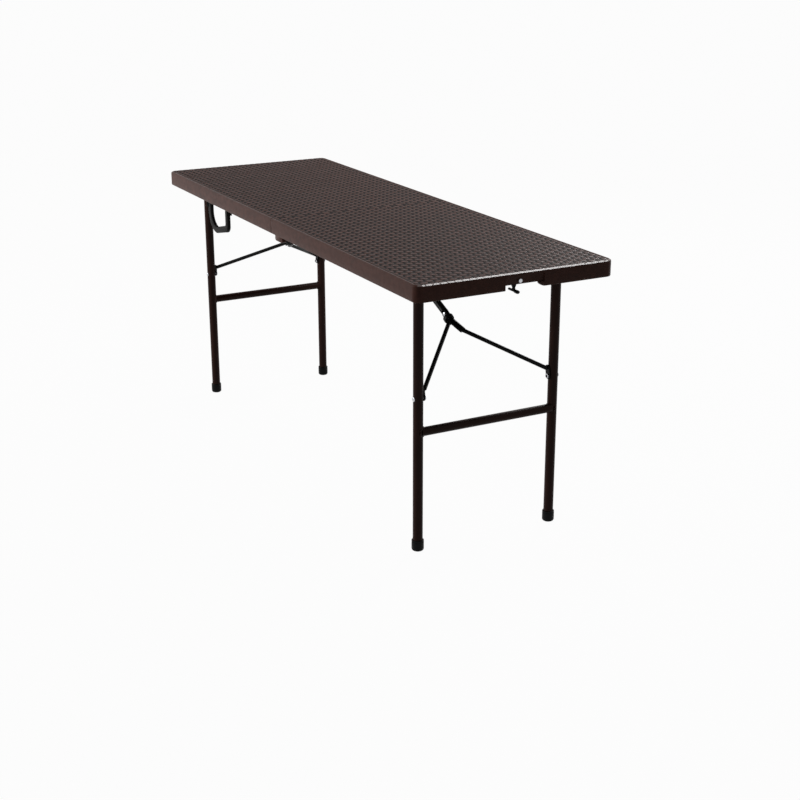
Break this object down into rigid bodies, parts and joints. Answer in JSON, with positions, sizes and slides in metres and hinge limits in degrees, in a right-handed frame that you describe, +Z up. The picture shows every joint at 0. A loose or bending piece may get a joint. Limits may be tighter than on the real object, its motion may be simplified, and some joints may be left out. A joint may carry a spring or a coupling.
{
  "type": "folding table",
  "caption": "Rectangular fold-in-half table with a rattan-look plastic top, folding steel tube legs with braces and lock rings, a carry handle and a latch.",
  "frame": {"origin": "centre of the table on the floor, under the seam", "axes": "+X along the length towards the half with the latch, +Y across the table, +Z up"},
  "size_m": [1.7, 0.56, 0.74],
  "materials": {
    "moulded_plastic": "satin, moulded in a rattan pattern",
    "dark_steel": "dark brown powder coat",
    "black_steel": "black powder coat",
    "zinc_plate": "zinc plated",
    "black_plastic": "black, fine grain"
  },
  "bodies": {
    "near_half": {"near_top": "moulded_plastic", "near_rails": "dark_steel", "near_rail_screws": "zinc_plate", "near_leg_brackets": "black_steel", "near_link_hangers": "black_steel", "near_link_pins": "zinc_plate", "near_hinge_brackets": "black_steel", "near_hinge_pins": "zinc_plate", "latch_guide": "black_plastic", "latch_screw": "zinc_plate"},
    "hinge_link": {"hinge_plates": "black_steel"},
    "far_half": {"far_top": "moulded_plastic", "far_rails": "dark_steel", "far_rail_screws": "zinc_plate", "far_leg_brackets": "black_steel", "far_link_hangers": "black_steel", "far_link_pins": "zinc_plate", "far_hinge_brackets": "black_steel", "far_hinge_pins": "zinc_plate", "handle_brackets": "black_plastic", "handle_pins": "black_steel", "latch_keeper": "black_steel"},
    "near_leg_frame": {"near_leg_axle": "black_steel", "near_leg_spacers": "zinc_plate", "near_left_leg": "dark_steel", "near_right_leg": "dark_steel", "near_crossbar": "dark_steel", "near_feet": "black_plastic", "near_brace_bolts": "zinc_plate"},
    "near_brace": {"near_brace_stem": "black_steel", "near_left_arm": "black_steel", "near_right_arm": "black_steel", "near_brace_rivet": "zinc_plate", "near_knuckle_pin": "zinc_plate"},
    "near_lock_ring": {"near_lock_ring": "black_plastic"},
    "near_link": {"near_link_straps": "black_steel"},
    "far_leg_frame": {"far_leg_axle": "black_steel", "far_leg_spacers": "zinc_plate", "far_left_leg": "dark_steel", "far_right_leg": "dark_steel", "far_crossbar": "dark_steel", "far_feet": "black_plastic", "far_brace_bolts": "zinc_plate"},
    "far_brace": {"far_brace_stem": "black_steel", "far_left_arm": "black_steel", "far_right_arm": "black_steel", "far_brace_rivet": "zinc_plate", "far_knuckle_pin": "zinc_plate"},
    "far_lock_ring": {"far_lock_ring": "black_plastic"},
    "far_link": {"far_link_straps": "black_steel"},
    "carry_handle": {"carry_handle": "black_plastic"},
    "latch": {"latch_bar": "black_plastic"}
  },
  "joints": [
    {"name": "hinge_fold", "type": "hinge", "parent": "near_half", "child": "hinge_link", "pos_m": [0.012, 0, 0.699], "axis": [0, -1, 0], "range_deg": [0, 90]},
    {"name": "far_half_fold", "type": "hinge", "parent": "hinge_link", "child": "far_half", "pos_m": [-0.012, 0, 0.699], "axis": [0, -1, 0], "range_deg": [0, 90]},
    {"name": "near_leg_fold", "type": "hinge", "parent": "near_half", "child": "near_leg_frame", "pos_m": [0.716, 0, 0.705], "axis": [0, 1, 0], "range_deg": [0, 90]},
    {"name": "near_brace_fold", "type": "hinge", "parent": "near_leg_frame", "child": "near_brace", "pos_m": [0.716, 0, 0.412], "axis": [0, -1, 0], "range_deg": [0, 120.74]},
    {"name": "near_link_fold", "type": "hinge", "parent": "near_half", "child": "near_link", "pos_m": [0.28947, 0, 0.7245], "axis": [0, 1, 0], "range_deg": [0, 129.02]},
    {"name": "near_ring_slide", "type": "slide", "parent": "near_brace", "child": "near_lock_ring", "axis": [-0.8596, 0, 0.511], "range_m": [0, 0.025]},
    {"name": "far_leg_fold", "type": "hinge", "parent": "far_half", "child": "far_leg_frame", "pos_m": [-0.716, 0, 0.705], "axis": [0, -1, 0], "range_deg": [0, 90]},
    {"name": "far_brace_fold", "type": "hinge", "parent": "far_leg_frame", "child": "far_brace", "pos_m": [-0.716, 0, 0.412], "axis": [0, 1, 0], "range_deg": [0, 120.74]},
    {"name": "far_link_fold", "type": "hinge", "parent": "far_half", "child": "far_link", "pos_m": [-0.28947, 0, 0.7245], "axis": [0, -1, 0], "range_deg": [0, 129.02]},
    {"name": "far_ring_slide", "type": "slide", "parent": "far_brace", "child": "far_lock_ring", "axis": [0.8596, 0, 0.511], "range_m": [0, 0.025]},
    {"name": "handle_swing", "type": "hinge", "parent": "far_half", "child": "carry_handle", "pos_m": [-0.445, -0.2645, 0.687], "axis": [-1, 0, 0], "range_deg": [0, 90]},
    {"name": "latch_turn", "type": "hinge", "parent": "near_half", "child": "latch", "pos_m": [0.818, 0.007, 0.687], "axis": [0, 0, 1], "range_deg": [0, 90]}
  ],
  "couplings": [
    {"joint": "near_brace_fold", "follows": "near_leg_fold", "ratio": 1.3414},
    {"joint": "near_link_fold", "follows": "near_leg_fold", "ratio": 1.4334},
    {"joint": "far_brace_fold", "follows": "far_leg_fold", "ratio": 1.3414},
    {"joint": "far_link_fold", "follows": "far_leg_fold", "ratio": 1.4334}
  ]
}
